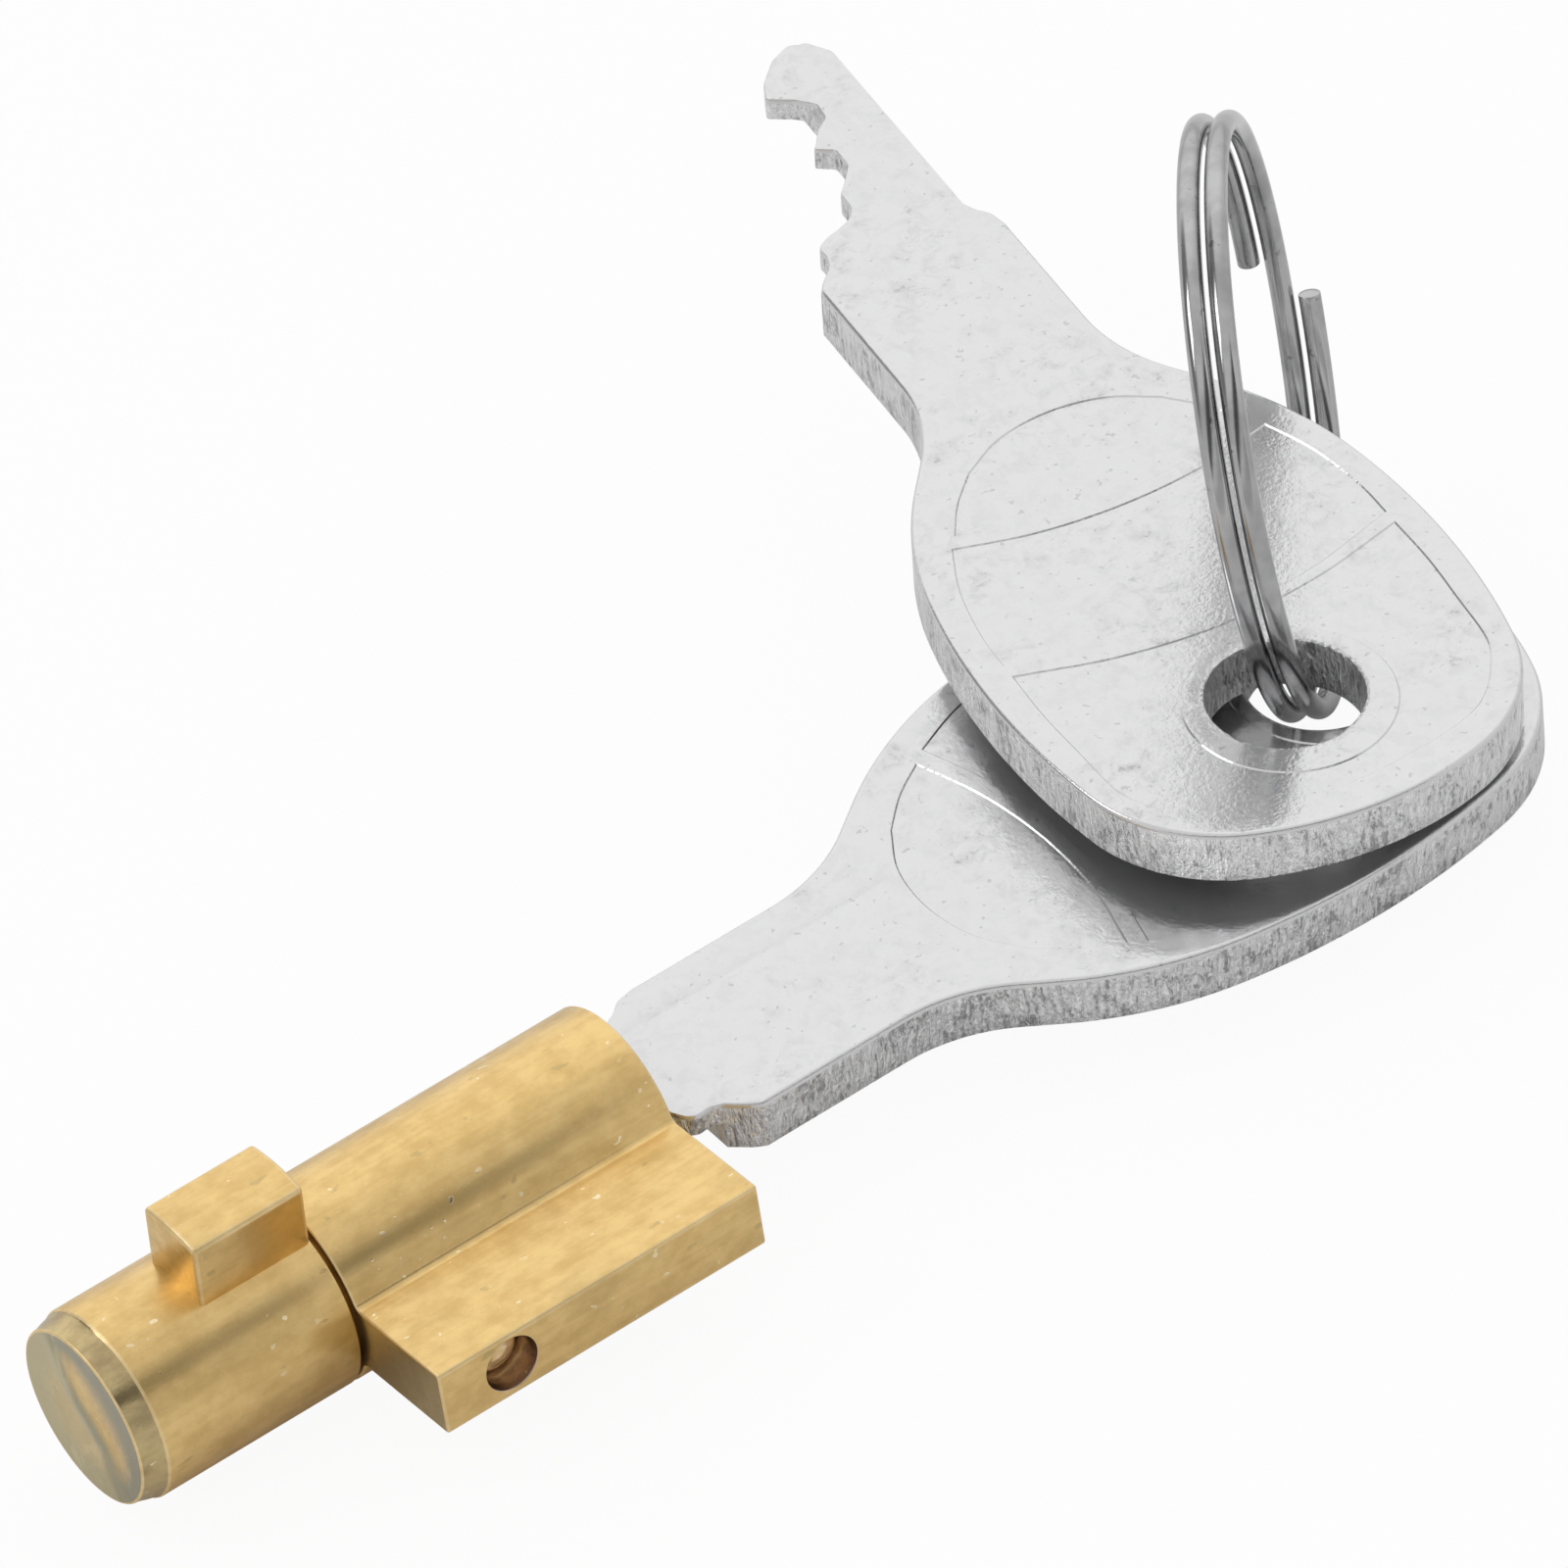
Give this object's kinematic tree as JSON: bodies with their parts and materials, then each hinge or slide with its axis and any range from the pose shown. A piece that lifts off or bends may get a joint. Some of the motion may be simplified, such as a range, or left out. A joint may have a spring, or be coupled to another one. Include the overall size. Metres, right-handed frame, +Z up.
{
  "type": "showcase cylinder lock",
  "caption": "Small round brass cylinder lock with a flat mounting fin and a locking lug on its turning end, with a flat key in it and a spare key on a split ring.",
  "frame": {"origin": "on the barrel's axis, at the seam between the fixed housing and the turning rotor", "axes": "+X along the barrel's axis towards the key, the fin points to -Y, +Z up"},
  "size_m": [0.0698, 0.0511, 0.0247],
  "materials": {
    "lock_brass": "satin machined brass",
    "pin_brass": "bright domed head",
    "wafer_brass": "stamped",
    "spring_steel": "drawn wire",
    "key_metal": "dull nickel plating over a stamped blank",
    "ring_steel": "drawn and plated wire"
  },
  "bodies": {
    "housing": {"housing": "lock_brass", "retaining_pin": "pin_brass"},
    "rotor": {"rotor": "lock_brass", "wafer_spring_1": "spring_steel", "wafer_spring_2": "spring_steel", "wafer_spring_3": "spring_steel"},
    "wafer_1": {"wafer_1": "wafer_brass"},
    "wafer_2": {"wafer_2": "wafer_brass"},
    "wafer_3": {"wafer_3": "wafer_brass"},
    "key": {"lock_key": "key_metal"},
    "ring": {"split_ring": "ring_steel"},
    "spare": {"spare_key": "key_metal"}
  },
  "joints": [
    {"name": "rotor_turn", "type": "hinge", "parent": "housing", "child": "rotor", "pos_m": [0, 0, 0], "axis": [1, 0, 0], "range_deg": [-5, 85]},
    {"name": "key_slide", "type": "slide", "parent": "rotor", "child": "key", "axis": [1, 0, 0], "range_m": [0, 0.014]},
    {"name": "ring_swing", "type": "hinge", "parent": "key", "child": "ring", "pos_m": [0.04844, -0.00068, -0.00006], "axis": [0, -0.0872, 0.9962], "range_deg": [-120, 15]},
    {"name": "spare_swing", "type": "hinge", "parent": "ring", "child": "spare", "pos_m": [0.04464, -0.00363, 0.00292], "axis": [0.0449, -0.0692, 0.9966], "range_deg": [-12, 20]},
    {"name": "wafer_1_slide", "type": "slide", "parent": "rotor", "child": "wafer_1", "axis": [0, 0.9962, 0.0872], "range_m": [-0.00015, 0], "stiffness_N_per_m": 30, "springref_m": 0.0006},
    {"name": "wafer_2_slide", "type": "slide", "parent": "rotor", "child": "wafer_2", "axis": [0, 0.9962, 0.0872], "range_m": [-0.00015, 0], "stiffness_N_per_m": 30, "springref_m": 0.0006},
    {"name": "wafer_3_slide", "type": "slide", "parent": "rotor", "child": "wafer_3", "axis": [0, 0.9962, 0.0872], "range_m": [-0.00015, 0], "stiffness_N_per_m": 30, "springref_m": 0.0006}
  ]
}
